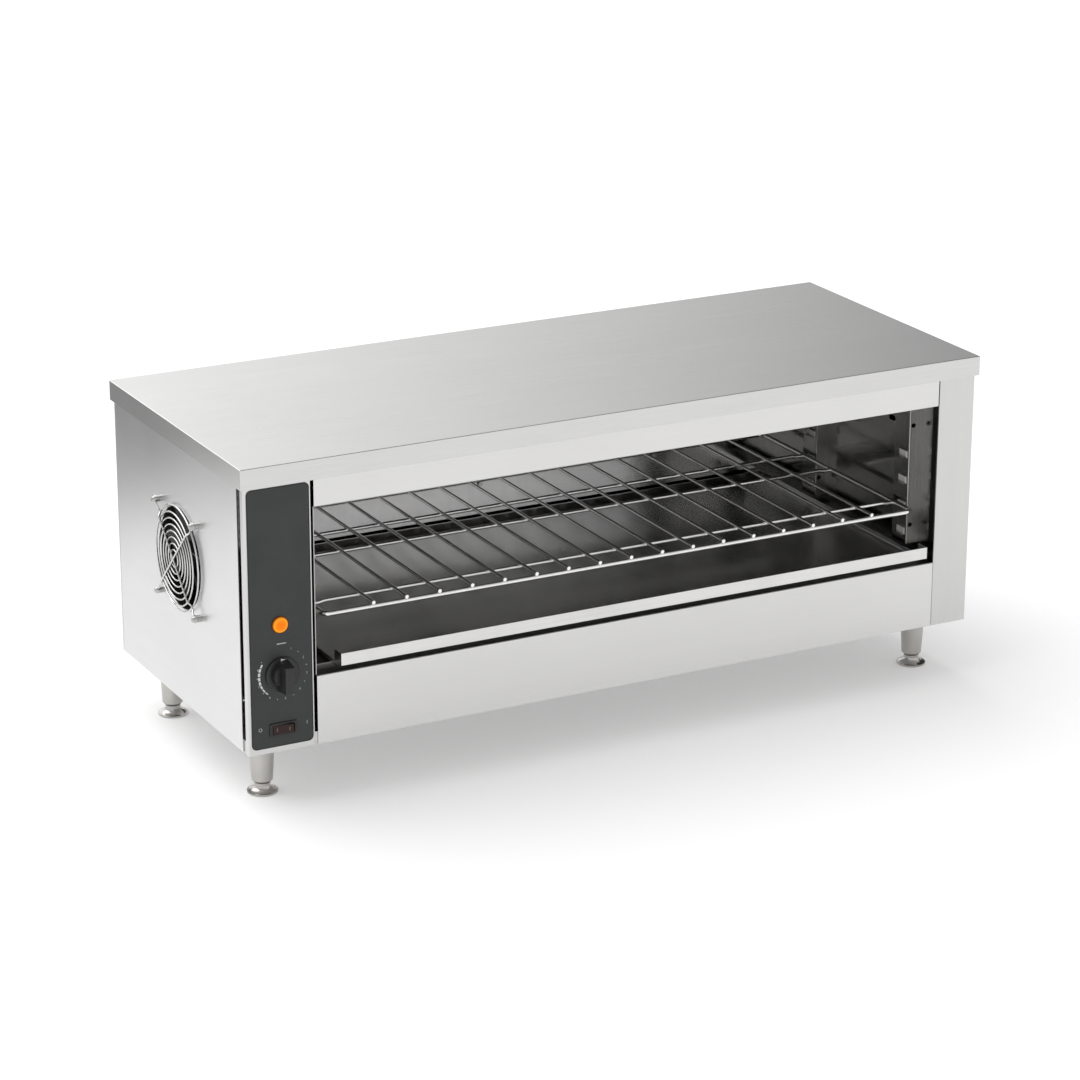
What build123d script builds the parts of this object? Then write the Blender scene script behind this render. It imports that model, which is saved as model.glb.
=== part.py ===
from build123d import *
import os

# Countertop cheese melter: a stainless cabinet on four adjustable legs, open at the front,
# with heating elements under its ceiling, a wire rack on four slotted posts, a crumb tray,
# and a fan-cooled control compartment at its left end.
# Millimetres. X runs to the right, Y to the back, Z up. The origin lies on the floor, under
# the centre of the whole outline.

os.makedirs("parts", exist_ok=True)

# Sheets and gaps
skin = 1.2                      # outer sheet
liner = 1.0                     # sheet of the heated space
seam = 0.3                      # between sheets that only lie against each other
seat_gap = 0.3                  # under a loose piece at rest
running_gap = 0.05              # radial, around a shaft or a pin
screw_gap = 0.2                 # radial, around a screw's shank

# Top cover and body
lid_width = 914.4
lid_depth = 366.0
lid_rim = 22.4
lid_top_z = 385.5
lid_overhang = 3.7
lid_edge_radius = 0.8
body_base_z = 66.0
rear_flange = 14.0
pan_flange = 14.0

# Front
column_width = 76.7             # control column
column_left_return = 7.5
column_right_return = 30.0
side_setback = 16.4             # side panels stop this far behind the front
panel_gap = 3.4                 # dark gap right of the control column
post_width = 47.1               # right front post
post_left_return = 12.0
fascia_seam = 1.5
panel_seam = 0.6
fascia_drop = 53.6              # fascia's lower edge under the lid's top
fascia_return = 22.0
fascia_hem = 13.0
panel_top_z = 143.5
panel_return = 30.0

# Heated space
cavity_inset = 4.4              # left wall, right of the control column
wall_setback = 3.0
cavity_back_gap = 3.6           # back wall, in front of the back panel's outer face
cavity_floor_z = 150.5
ceiling_drop = 20.5             # ceiling under the lid's top
ceiling_apron = 27.0
riser_setback = 16.0
insulation_depth = 16.0
insulation_setback = 30.0
insulation_back_gap = 4.0
probe_slot_length = 14.0
probe_slot_height = 6.0
probe_slot_back = 97.0
probe_slot_drop = 73.0          # under the ceiling

# Slotted posts that carry the rack
post_stand_left = 10.8          # how far a post stands off its wall
post_stand_right = 15.3
rack_post_width = 30.0
rack_post_foot = 12.0
rack_post_bottom_z = 157.0
rack_post_top_gap = 40.0        # under the ceiling
front_post_back = 37.5
rear_post_gap = 119.9           # in front of the back wall
shelf_count = 4
shelf_pitch = 31.0
shelf_under_rack = 1            # shelves below the one that holds the rack
shelf_reach = 6.5
shelf_length = 15.0
shelf_margin = 1.7
ear_gap = 0.8                   # between a post's face and the ears that guide the rack
ear_height = 6.5                # over the shelf
ear_foot_drop = 3.2             # under the shelf
ear_foot_length = 5.2
notch_radius = 2.8
notch_inset = 5.0
notch_heights = (180.0, 300.0)
wall_screw_margin = 20.0

# Wire rack
rack_rail_z = 204.0
rack_rail_wire = 6.0
rack_cross_wire = 4.2
rack_long_wire = 4.5
rack_side_play = 2.75
rack_front_back = 18.0
rack_rear_gap = 4.5             # rear rail's centre, in front of the back wall
rack_corner = 9.0
cross_count = 17
cross_pitch = 39.3
long_wire_backs = (56.0, 192.4, 254.5)
long_wire_end_rise = 0.4        # how far the ends' undersides lie over the rail's
joggle_start = 11.0
joggle_end = 17.0
joggle_radius = 4.0
weld_depth = 0.35               # how far crossing wires sink into each other

# Crumb tray
tray_left_gap = 19.5            # from the wall
tray_right_gap = 22.5
tray_sheet = 1.0
tray_reach = 17.6               # lip in front of the body
tray_side_height = 7.0
tray_lip_rise = 6.7             # lip's lower edge over the tray's underside
tray_lip_height = 13.4
tray_nose = 15.0
tray_wing = 17.0
tray_back_gap = 5.5
tray_tail = 9.5                 # slope at the tray's rear end
tray_corner = 3.2

# Legs and feet
leg_inset_x = 36.9
leg_inset_y = 52.8
leg_top_radius = 14.5
leg_low_radius = 11.7
leg_low_z = 15.0
leg_end_z = 11.8
leg_bore_top_z = 60.0
neck_radius = 8.7
foot_radius = 17.0
foot_rim = 2.2
foot_edge = 0.6
flare_z = 8.4
flare_sag = 2.4
foot_seat_gap = 0.2
stem_gap = 0.1
stem_radius = 6.0
stem_top_z = 55.0
stud_radius = 5.0
stud_length = 15.0
nut_flats = 17.0
nut_height = 8.0

# Fan and guard
fan_back = 176.4
fan_z = 234.0
fan_size = 120.0
fan_depth = 25.0
fan_corner = 6.0
fan_bore_radius = 57.5
fan_screw_pitch = 105.0
fan_screw_radius = 2.0
fan_boss_radius = 22.0
fan_boss_depth = 4.0
fan_strut = 4.0
vent_radius = 57.0
rotor_radius = 55.0
rotor_hub_radius = 21.0
rotor_start = 3.5
rotor_depth = 15.0
rotor_shaft_radius = 2.0
blade_count = 7
blade_chord = 26.0
blade_sheet = 1.6
blade_pitch = 32.0
standoff_radius = 3.9
standoff_length = 6.2
eyelet_radius = 4.6
eyelet_sheet = 1.6
guard_head_radius = 3.6
guard_head_height = 2.6
fan_nut_flats = 7.0
fan_nut_height = 3.0
ring_wire = 1.9
ring_count = 8
ring_outer_radius = 58.8
ring_pitch = 7.0
spoke_wire = 2.2
spoke_height = 8.4
spoke_low_height = 5.4
spoke_step_in = 53.5
spoke_step_out = 57.5
spoke_bend = 2.0
spoke_low_run = 5.0
eyelet_bite = 0.3
wire_weld = 0.3

# Controls
overlay_sheet = 0.5
overlay_left_margin = 3.5
overlay_right_margin = 2.0
overlay_bottom_margin = 6.0
overlay_top_margin = 2.0
overlay_corner = 6.0
pilot_z = 209.0
pilot_radius = 9.3
pilot_rim = 1.2
pilot_dome = 3.6
pilot_taper = 25.0              # degrees
pilot_body_radius = 6.3
pilot_body_length = 26.0
dial_shift = 1.4                # knob and switch, right of the column's middle
knob_z = 153.6
knob_gap = 0.6
knob_radius = 19.0
knob_rim = 2.4
knob_shoulder_radius = 14.0
knob_shoulder = 9.0
knob_height = 21.2
grip_width = 12.6
knob_edge = 0.8
grip_top_reach = 15.2           # at its foot, over the knob's centre
grip_low_reach = 18.6
grip_taper = 5.0                # degrees
grip_edge = 1.6
knob_bore_depth = 13.0
shaft_root = 12.0
shaft_radius = 3.0
control_size = 38.0
control_depth = 28.0
control_neck_radius = 4.8
control_edge = 2.0
spade_width = 6.3
spade_sheet = 0.8
spade_length = 9.0
switch_z = 91.7
bezel_length = 31.5
bezel_height = 15.0
bezel_sheet = 1.6
switch_body_length = 27.0
switch_body_height = 12.0
switch_body_depth = 22.0
rocker_window_length = 25.6
rocker_window_height = 10.4
rocker_window_depth = 9.0
rocker_length = 22.8
rocker_height = 9.8
rocker_tip = 3.2
rocker_dip = 0.9
rocker_pivot_depth = 3.0
rocker_heel_length = 20.4
rocker_heel_depth = 5.0
rocker_tilt = 8.0
pivot_radius = 1.0

# Heating elements
element_radius = 4.0
element_drop = 15.0             # under the ceiling
element_backs = (75.0, 205.0)
element_pitch = 50.0
element_end_gap = 30.0
element_tail = 14.0
bush_radius = 7.0
bush_length = 5.0
bush_gap = 0.1
pin_radius = 2.0
pin_length = 10.0
element_bend = 22.0
hanger_offsets = (-250.0, 0.0, 250.0)
hanger_sheet = 1.5
hanger_margin = 12.0
hanger_drop = 8.0

# Rear wiring entry
gland_side = 40.0
gland_z = 98.0
gland_bore_radius = 7.0
gland_thread_radius = 9.8
gland_flange_radius = 13.0
gland_flange = 5.0
gland_dome_radius = 10.5
gland_reach = 12.0
gland_inside = 12.0
gland_nut_height = 5.0
gland_nut_radius = 14.0
terminal_length = 66.0
terminal_width = 22.0
terminal_height = 18.0
terminal_back_gap = 108.6       # centre, in front of the back panel's outer face
terminal_bays = 4
terminal_wall = 2.0

# Screws and vents
panel_screw_radius = 2.0
panel_head_radius = 3.8
panel_head_height = 2.2
panel_screw_length = 8.0
head_taper = 22.0               # degrees
panel_screw_margin = 8.5
panel_screw_low = 24.0          # lowest screw, over the body's base
panel_screw_high = 34.0         # highest screw, under the body's top
panel_screw_rows = 4
lid_screw_spacing = 380.0
wall_screw_spacing = 235.0
wall_screw_z = 197.0
vent_slot_length = 46.0
vent_slot_width = 4.0
vent_slot_pitch = 10.0
vent_slot_count = 7
back_vent_z = 200.0

# Places worked out from the sizes above
knob_reach = overlay_sheet + knob_gap + knob_height
guard_reach = standoff_length + eyelet_sheet + guard_head_height
body_width = lid_width - 2 * lid_overhang
body_depth = lid_depth - 2 * lid_overhang
left_x = guard_reach - (guard_reach + body_width + lid_overhang) / 2
right_x = left_x + body_width
front_y = knob_reach - (knob_reach + body_depth + gland_reach) / 2
back_y = front_y + body_depth
centre_x = (left_x + right_x) / 2
centre_y = (front_y + back_y) / 2
body_top_z = lid_top_z - skin - seam
fascia_bottom_z = lid_top_z - fascia_drop
cavity_ceiling_z = lid_top_z - ceiling_drop
element_z = cavity_ceiling_z - element_drop
probe_slot_z = cavity_ceiling_z - probe_slot_drop
rack_post_top_z = cavity_ceiling_z - rack_post_top_gap
column_right_x = left_x + column_width
column_centre_x = left_x + column_width / 2
dial_x = column_centre_x + dial_shift
post_left_x = right_x - post_width
panel_left_x = column_right_x + panel_gap
cavity_left_x = column_right_x + cavity_inset
cavity_right_x = post_left_x + skin
cavity_back_y = back_y - cavity_back_gap
pan_top_z = body_base_z + pan_flange
pan_front_y = front_y + skin + seam
pan_back_y = back_y - 2 * skin - seam
face_left_x = cavity_left_x + post_stand_left
face_right_x = cavity_right_x - post_stand_right
shelf_z = rack_rail_z - rack_rail_wire / 2 - seat_gap
shelf_levels = [shelf_z + shelf_pitch * (n - shelf_under_rack) for n in range(shelf_count)]
fan_y = front_y + fan_back
leg_points = {
    "front_left": (left_x + leg_inset_x, front_y + leg_inset_y),
    "front_right": (right_x - leg_inset_x, front_y + leg_inset_y),
    "rear_left": (left_x + leg_inset_x, back_y - leg_inset_y),
    "rear_right": (right_x - leg_inset_x, back_y - leg_inset_y),
}

front_plane = Plane.XZ.offset(-front_y)                 # faces forwards, local y is up
overlay_plane = Plane.XZ.offset(overlay_sheet - front_y)
back_plane = Plane(origin=(0, back_y, 0), x_dir=(-1, 0, 0), z_dir=(0, 1, 0))
guard_plane = Plane(origin=(left_x, fan_y, fan_z), x_dir=(0, -1, 0), z_dir=(-1, 0, 0))


def block(x_span, y_span, z_span, mode=Mode.ADD):
    """A block between two corners."""
    with Locations((x_span[0], y_span[0], z_span[0])):
        Box(
            x_span[1] - x_span[0],
            y_span[1] - y_span[0],
            z_span[1] - z_span[0],
            align=(Align.MIN, Align.MIN, Align.MIN),
            mode=mode,
        )


def folded_sheet(plane, points, length, thickness, side):
    """A bent sheet: the points follow one face, and the bends on the other side are round."""
    with BuildSketch(plane) as profile:
        with BuildLine():
            near_face = Polyline(*points)
            offset(near_face, amount=thickness, side=side)
        make_face()
    extrude(profile.sketch, amount=length)


def drill(plane, centres, radius, depth):
    """Round holes into a face, from the plane against its direction."""
    with BuildSketch(plane) as circles:
        with Locations(*centres):
            Circle(radius)
    extrude(circles.sketch, amount=-depth, mode=Mode.SUBTRACT)


def stacked_cylinder(plane, start, radius, length, mode=Mode.ADD):
    """A cylinder that stands on the plane moved along its direction by start."""
    with BuildSketch(plane.offset(start)) as circle:
        Circle(radius)
    extrude(circle.sketch, amount=length, mode=mode)


def hexagon_nut(plane, start, flats, height, bore):
    """A nut that stands on the plane moved along its direction by start."""
    with BuildSketch(plane.offset(start)) as outline:
        RegularPolygon(flats / 2, 6, major_radius=False)
        Circle(bore, mode=Mode.SUBTRACT)
    extrude(outline.sketch, amount=height)


def turned(x, y, outline):
    """A turned solid on the vertical line through x, y: the outline runs in radius and height."""
    with BuildSketch(Plane(origin=(x, y, 0), x_dir=(1, 0, 0), z_dir=(0, -1, 0))) as half:
        with BuildLine():
            Polyline(*outline, close=True)
        make_face()
    revolve(half.sketch, axis=Axis((x, y, 0), (0, 0, 1)))


def pan_screws(plane, centres, head_radius, head_height, radius, length):
    """Screws whose heads stand on the plane and whose shanks go down through it."""
    with BuildSketch(plane) as heads:
        with Locations(*centres):
            Circle(head_radius)
    extrude(heads.sketch, amount=head_height, taper=head_taper)
    with BuildSketch(plane) as shanks:
        with Locations(*centres):
            Circle(radius)
    extrude(shanks.sketch, amount=-length)


# ------------------------------------------------------------------ cabinet shell

with BuildPart() as base_pan:
    block((left_x + skin + seam, right_x - skin - seam), (pan_front_y, pan_back_y), (body_base_z, pan_top_z))
    block(
        (left_x + 2 * skin + seam, right_x - 2 * skin - seam),
        (pan_front_y + skin, pan_back_y - skin),
        (body_base_z + skin, pan_top_z),
        mode=Mode.SUBTRACT,
    )
    drill(Plane.XY.offset(body_base_z + skin), leg_points.values(), stud_radius + screw_gap, skin)
    with BuildSketch(Plane.XY.offset(body_base_z)):
        with Locations((column_centre_x, centre_y)):
            with GridLocations(0, vent_slot_pitch, 1, vent_slot_count):
                SlotOverall(vent_slot_length, vent_slot_width)
    extrude(amount=skin, mode=Mode.SUBTRACT)
base_pan.part.label = "base_pan"
export_step(base_pan.part, "parts/base_pan.step")

side_front_y = front_y + side_setback
side_back_y = back_y - 2 * skin
side_height = body_top_z - body_base_z
screw_corners = [(fan_screw_pitch / 2 * a, fan_screw_pitch / 2 * b) for a in (-1, 1) for b in (-1, 1)]
left_flange_x = left_x + panel_screw_margin
right_flange_x = right_x - panel_screw_margin
panel_screw_step = (side_height - panel_screw_low - panel_screw_high) / (panel_screw_rows - 1)
panel_screw_heights = [body_base_z + panel_screw_low + panel_screw_step * n for n in range(panel_screw_rows)]
panel_screw_points = [(-x, z) for x in (left_flange_x, right_flange_x) for z in panel_screw_heights]

with BuildPart() as left_side_panel:
    folded_sheet(
        Plane.XY.offset(body_base_z),
        [
            (left_x + skin, side_front_y),
            (left_x + skin, side_back_y),
            (left_x + rear_flange, side_back_y),
        ],
        side_height,
        skin,
        Side.LEFT,
    )
    drill(guard_plane, [(0, 0)], vent_radius, skin)
    drill(guard_plane, screw_corners, fan_screw_radius + screw_gap, skin)
    drill(back_plane.offset(-skin), panel_screw_points, panel_screw_radius + screw_gap, skin)
left_side_panel.part.label = "left_side_panel"
export_step(left_side_panel.part, "parts/left_side_panel.step")

with BuildPart() as right_side_panel:
    folded_sheet(
        Plane.XY.offset(body_base_z),
        [
            (right_x - skin, side_front_y),
            (right_x - skin, side_back_y),
            (right_x - rear_flange, side_back_y),
        ],
        side_height,
        skin,
        Side.RIGHT,
    )
    drill(back_plane.offset(-skin), panel_screw_points, panel_screw_radius + screw_gap, skin)
right_side_panel.part.label = "right_side_panel"
export_step(right_side_panel.part, "parts/right_side_panel.step")

gland_x = left_x + gland_side
wall_screw_points = [(-centre_x + wall_screw_spacing * n, wall_screw_z) for n in (-1, 0, 1)]
lid_screw_z = lid_top_z - lid_rim / 2
lid_screw_points = [(-centre_x + lid_screw_spacing * n, lid_screw_z) for n in (-1, 0, 1)]

with BuildPart() as back_panel:
    block((left_x, right_x), (back_y - skin, back_y), (body_base_z, body_top_z))
    drill(back_plane, panel_screw_points, panel_screw_radius + screw_gap, skin)
    drill(back_plane, wall_screw_points, panel_screw_radius + screw_gap, skin)
    drill(back_plane, lid_screw_points, panel_screw_radius + screw_gap, skin)
    drill(back_plane, [(-gland_x, gland_z)], gland_thread_radius + screw_gap, skin)
    with BuildSketch(back_plane):
        with Locations((-column_centre_x, back_vent_z)):
            with GridLocations(0, vent_slot_pitch, 1, vent_slot_count):
                SlotOverall(vent_slot_length, vent_slot_width)
    extrude(amount=-skin, mode=Mode.SUBTRACT)
back_panel.part.label = "back_panel"
export_step(back_panel.part, "parts/back_panel.step")

lid_left_x = left_x - lid_overhang
lid_right_x = right_x + lid_overhang
lid_front_y = front_y - lid_overhang
lid_back_y = back_y + lid_overhang
lid_bottom_z = lid_top_z - lid_rim
lid_plane = back_plane.offset(lid_overhang)

with BuildPart() as top_cover:
    block((lid_left_x, lid_right_x), (lid_front_y, lid_back_y), (lid_bottom_z, lid_top_z))
    rim_edges = top_cover.edges().filter_by(Axis.Z) + top_cover.faces().sort_by(Axis.Z)[-1].edges()
    fillet(rim_edges, radius=lid_edge_radius)
    block(
        (lid_left_x + skin, lid_right_x - skin),
        (lid_front_y + skin, lid_back_y - skin),
        (lid_bottom_z, lid_top_z - skin),
        mode=Mode.SUBTRACT,
    )
    drill(lid_plane, lid_screw_points, panel_screw_radius + screw_gap, skin)
top_cover.part.label = "top_cover"
export_step(top_cover.part, "parts/top_cover.step")

# ------------------------------------------------------------------ front

return_notch_z = (body_base_z, pan_top_z + seam)

with BuildPart() as control_column:
    folded_sheet(
        Plane.XY.offset(body_base_z),
        [
            (left_x + skin, front_y + column_left_return),
            (left_x + skin, front_y + skin),
            (column_right_x - skin, front_y + skin),
            (column_right_x - skin, front_y + column_right_return),
        ],
        side_height,
        skin,
        Side.RIGHT,
    )
    block(
        (column_right_x - 2 * skin, column_right_x + skin),
        (front_y + skin, front_y + column_right_return + skin),
        return_notch_z,
        mode=Mode.SUBTRACT,
    )
    drill(front_plane, [(column_centre_x, pilot_z)], pilot_body_radius + screw_gap, skin)
    drill(front_plane, [(dial_x, knob_z)], control_neck_radius + screw_gap, skin)
    with BuildSketch(front_plane):
        with Locations((dial_x, switch_z)):
            Rectangle(switch_body_length + 2 * screw_gap, switch_body_height + 2 * screw_gap)
    extrude(amount=-skin, mode=Mode.SUBTRACT)
control_column.part.label = "control_column"
export_step(control_column.part, "parts/control_column.step")

overlay_bottom_z = body_base_z + overlay_bottom_margin
overlay_top_z = lid_bottom_z - overlay_top_margin
overlay_width = column_width - overlay_left_margin - overlay_right_margin
overlay_x = left_x + overlay_left_margin + overlay_width / 2

with BuildPart() as control_overlay:
    with BuildSketch(front_plane):
        with Locations((overlay_x, (overlay_bottom_z + overlay_top_z) / 2)):
            RectangleRounded(overlay_width, overlay_top_z - overlay_bottom_z, overlay_corner)
        with Locations((column_centre_x, pilot_z)):
            Circle(pilot_body_radius + screw_gap, mode=Mode.SUBTRACT)
        with Locations((dial_x, knob_z)):
            Circle(control_neck_radius + screw_gap, mode=Mode.SUBTRACT)
        with Locations((dial_x, switch_z)):
            Rectangle(
                switch_body_length + 2 * screw_gap,
                switch_body_height + 2 * screw_gap,
                mode=Mode.SUBTRACT,
            )
    extrude(amount=overlay_sheet)
control_overlay.part.label = "control_overlay"
export_step(control_overlay.part, "parts/control_overlay.step")

with BuildPart() as right_front_post:
    folded_sheet(
        Plane.XY.offset(body_base_z),
        [
            (post_left_x + skin, front_y + post_left_return),
            (post_left_x + skin, front_y + skin),
            (right_x - skin, front_y + skin),
            (right_x - skin, front_y + column_left_return),
        ],
        side_height,
        skin,
        Side.RIGHT,
    )
    block(
        (post_left_x - skin, post_left_x + 2 * skin),
        (front_y + skin, front_y + post_left_return + skin),
        return_notch_z,
        mode=Mode.SUBTRACT,
    )
right_front_post.part.label = "right_front_post"
export_step(right_front_post.part, "parts/right_front_post.step")

with BuildPart() as upper_fascia:
    folded_sheet(
        Plane.YZ.offset(panel_left_x),
        [
            (front_y + skin, body_top_z),
            (front_y + skin, fascia_bottom_z + skin),
            (front_y + fascia_return - skin, fascia_bottom_z + skin),
            (front_y + fascia_return - skin, fascia_bottom_z + fascia_hem),
        ],
        post_left_x - fascia_seam - panel_left_x,
        skin,
        Side.RIGHT,
    )
upper_fascia.part.label = "upper_fascia"
export_step(upper_fascia.part, "parts/upper_fascia.step")

with BuildPart() as lower_front_panel:
    folded_sheet(
        Plane.YZ.offset(panel_left_x),
        [
            (front_y + skin, body_base_z),
            (front_y + skin, panel_top_z - skin),
            (front_y + panel_return, panel_top_z - skin),
        ],
        post_left_x - panel_seam - panel_left_x,
        skin,
        Side.LEFT,
    )
lower_front_panel.part.label = "lower_front_panel"
export_step(lower_front_panel.part, "parts/lower_front_panel.step")

# ------------------------------------------------------------------ heated space

wall_top_z = cavity_ceiling_z + liner
wall_front_y = front_y + wall_setback
left_wall_plane = Plane(origin=(cavity_left_x, 0, 0), x_dir=(0, 1, 0), z_dir=(1, 0, 0))
right_wall_plane = Plane(origin=(cavity_right_x, 0, 0), x_dir=(0, -1, 0), z_dir=(-1, 0, 0))
element_legs = [front_y + back + side for back in element_backs for side in (0, element_pitch)]
rack_post_starts = {"front": front_y + front_post_back, "rear": cavity_back_y - rear_post_gap}
foot_screw_heights = (rack_post_bottom_z + wall_screw_margin, rack_post_top_z - wall_screw_margin)
foot_screw_points = [
    (start + rack_post_width + rack_post_foot / 2, height)
    for start in rack_post_starts.values()
    for height in foot_screw_heights
]

with BuildPart() as cavity_left_wall:
    block((cavity_left_x - liner, cavity_left_x), (wall_front_y, cavity_back_y), (panel_top_z, wall_top_z))
    block(
        (cavity_left_x - liner, cavity_left_x),
        (wall_front_y, front_y + fascia_return + seam),
        (fascia_bottom_z - seam, wall_top_z),
        mode=Mode.SUBTRACT,
    )
    drill(left_wall_plane, [(y, element_z) for y in element_legs], element_radius + screw_gap, liner)
    drill(left_wall_plane, foot_screw_points, panel_screw_radius + screw_gap, liner)
cavity_left_wall.part.label = "cavity_left_wall"
export_step(cavity_left_wall.part, "parts/cavity_left_wall.step")

with BuildPart() as cavity_right_wall:
    block((cavity_right_x, cavity_right_x + liner), (wall_front_y, cavity_back_y), (panel_top_z, wall_top_z))
    drill(
        right_wall_plane,
        [(-y, z) for y, z in foot_screw_points],
        panel_screw_radius + screw_gap,
        liner,
    )
    with BuildSketch(right_wall_plane):
        with Locations((-front_y - probe_slot_back, probe_slot_z)):
            SlotOverall(probe_slot_length, probe_slot_height)
    extrude(amount=-liner, mode=Mode.SUBTRACT)
cavity_right_wall.part.label = "cavity_right_wall"
export_step(cavity_right_wall.part, "parts/cavity_right_wall.step")

with BuildPart() as cavity_back_wall:
    block(
        (cavity_left_x - liner, cavity_right_x + liner),
        (cavity_back_y, cavity_back_y + liner),
        (panel_top_z, wall_top_z),
    )
    drill(
        back_plane.offset(cavity_back_y + liner - back_y),
        wall_screw_points,
        panel_screw_radius + screw_gap,
        liner,
    )
cavity_back_wall.part.label = "cavity_back_wall"
export_step(cavity_back_wall.part, "parts/cavity_back_wall.step")

apron_y = front_y + fascia_return

with BuildPart() as cavity_ceiling:
    folded_sheet(
        Plane.YZ.offset(cavity_left_x),
        [
            (apron_y + liner, wall_top_z - ceiling_apron),
            (apron_y + liner, cavity_ceiling_z),
            (cavity_back_y, cavity_ceiling_z),
        ],
        cavity_right_x - cavity_left_x,
        liner,
        Side.LEFT,
    )
cavity_ceiling.part.label = "cavity_ceiling"
export_step(cavity_ceiling.part, "parts/cavity_ceiling.step")

with BuildPart() as cavity_floor:
    folded_sheet(
        Plane.YZ.offset(cavity_left_x),
        [
            (front_y + riser_setback + liner, panel_top_z),
            (front_y + riser_setback + liner, cavity_floor_z - liner),
            (cavity_back_y, cavity_floor_z - liner),
        ],
        cavity_right_x - cavity_left_x,
        liner,
        Side.LEFT,
    )
cavity_floor.part.label = "cavity_floor"
export_step(cavity_floor.part, "parts/cavity_floor.step")

with BuildPart() as top_insulation:
    block(
        (cavity_left_x, cavity_right_x),
        (front_y + insulation_setback, cavity_back_y - insulation_back_gap),
        (wall_top_z, wall_top_z + insulation_depth),
    )
top_insulation.part.label = "top_insulation"
export_step(top_insulation.part, "parts/top_insulation.step")

for row, start_y in rack_post_starts.items():
    for hand, wall_x, face_x in (("left", cavity_left_x, face_left_x), ("right", cavity_right_x, face_right_x)):
        inward = 1 if hand == "left" else -1
        end_y = start_y + rack_post_width
        with BuildPart() as rack_post:
            folded_sheet(
                Plane.XY.offset(rack_post_bottom_z),
                [
                    (wall_x, start_y + skin),
                    (face_x - inward * skin, start_y + skin),
                    (face_x - inward * skin, end_y - skin),
                    (wall_x, end_y - skin),
                    (wall_x, end_y + rack_post_foot),
                ],
                rack_post_top_z - rack_post_bottom_z,
                skin,
                Side.RIGHT if hand == "left" else Side.LEFT,
            )
            face_span = sorted((face_x - inward * skin, face_x))
            shelf_span = sorted((face_x - inward * skin, face_x + inward * shelf_reach))
            ear_span = sorted((face_x + inward * ear_gap, face_x + inward * (ear_gap + skin)))
            shelf_start = start_y + shelf_margin
            shelf_end = shelf_start + shelf_length
            for level in shelf_levels:
                block(face_span, (shelf_start, shelf_end), (level, level + ear_height), mode=Mode.SUBTRACT)
                block(shelf_span, (shelf_start, shelf_end), (level - skin, level))
                block(ear_span, (shelf_start, shelf_end), (level - skin, level + ear_height))
                block(ear_span, (shelf_end - ear_foot_length, shelf_end), (level - ear_foot_drop, level))
            drill(
                Plane.XZ.offset(-start_y),
                [(face_x - inward * notch_inset, z) for z in notch_heights],
                notch_radius,
                skin,
            )
            foot_start = (wall_x + inward * skin, 0, 0)
            foot_plane = Plane(origin=foot_start, x_dir=(0, inward, 0), z_dir=(inward, 0, 0))
            foot_y = end_y + rack_post_foot / 2
            drill(
                foot_plane,
                [(inward * foot_y, z) for z in foot_screw_heights],
                panel_screw_radius + screw_gap,
                skin,
            )
        rack_post.part.label = f"rack_post_{row}_{hand}"
        export_step(rack_post.part, f"parts/rack_post_{row}_{hand}.step")


with BuildPart() as rack_post_screws:
    for wall_x, inward in ((cavity_left_x, 1), (cavity_right_x, -1)):
        foot_face = Plane(origin=(wall_x + inward * skin, 0, 0), x_dir=(0, inward, 0), z_dir=(inward, 0, 0))
        pan_screws(
            foot_face,
            [(inward * y, z) for y, z in foot_screw_points],
            panel_head_radius,
            panel_head_height,
            panel_screw_radius,
            panel_screw_length / 2,
        )
rack_post_screws.part.label = "rack_post_screws"
export_step(rack_post_screws.part, "parts/rack_post_screws.step")

with BuildPart() as back_wall_stays:
    with BuildSketch(back_plane.offset(cavity_back_y - back_y)) as inner_heads:
        with Locations(*wall_screw_points):
            Circle(panel_head_radius)
    extrude(inner_heads.sketch, amount=-panel_head_height, taper=head_taper)
    pan_screws(
        back_plane,
        wall_screw_points,
        panel_head_radius,
        panel_head_height,
        panel_screw_radius,
        back_y - cavity_back_y,
    )
back_wall_stays.part.label = "back_wall_stays"
export_step(back_wall_stays.part, "parts/back_wall_stays.step")

with BuildPart() as rear_screws:
    pan_screws(
        back_plane,
        panel_screw_points,
        panel_head_radius,
        panel_head_height,
        panel_screw_radius,
        panel_screw_length,
    )
    pan_screws(
        lid_plane,
        lid_screw_points,
        panel_head_radius,
        panel_head_height,
        panel_screw_radius,
        panel_screw_length,
    )
rear_screws.part.label = "rear_screws"
export_step(rear_screws.part, "parts/rear_screws.step")

# ------------------------------------------------------------------ heating elements

element_left_x = cavity_left_x - element_tail
element_right_x = cavity_right_x - element_end_gap
bush_x = cavity_left_x - liner - bush_gap - bush_length

for row, back in zip(("front", "rear"), element_backs):
    near_y = front_y + back
    far_y = near_y + element_pitch
    with BuildPart() as heating_element:
        with BuildLine(Plane.XY.offset(element_z)):
            element_path = FilletPolyline(
                (element_left_x, near_y),
                (element_right_x, near_y),
                (element_right_x, far_y),
                (element_left_x, far_y),
                radius=element_bend,
            )
        with BuildSketch(Plane(element_path @ 0, z_dir=element_path % 0)) as tube:
            Circle(element_radius)
        sweep(tube.sketch, path=element_path)
        for leg_y in (near_y, far_y):
            bush_plane = Plane(origin=(bush_x, leg_y, element_z), x_dir=(0, 1, 0), z_dir=(1, 0, 0))
            stacked_cylinder(bush_plane, 0, bush_radius, bush_length)
            stacked_cylinder(bush_plane, element_left_x - pin_length - bush_x, pin_radius, pin_length)
    heating_element.part.label = f"heating_element_{row}"
    export_step(heating_element.part, f"parts/heating_element_{row}.step")

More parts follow.
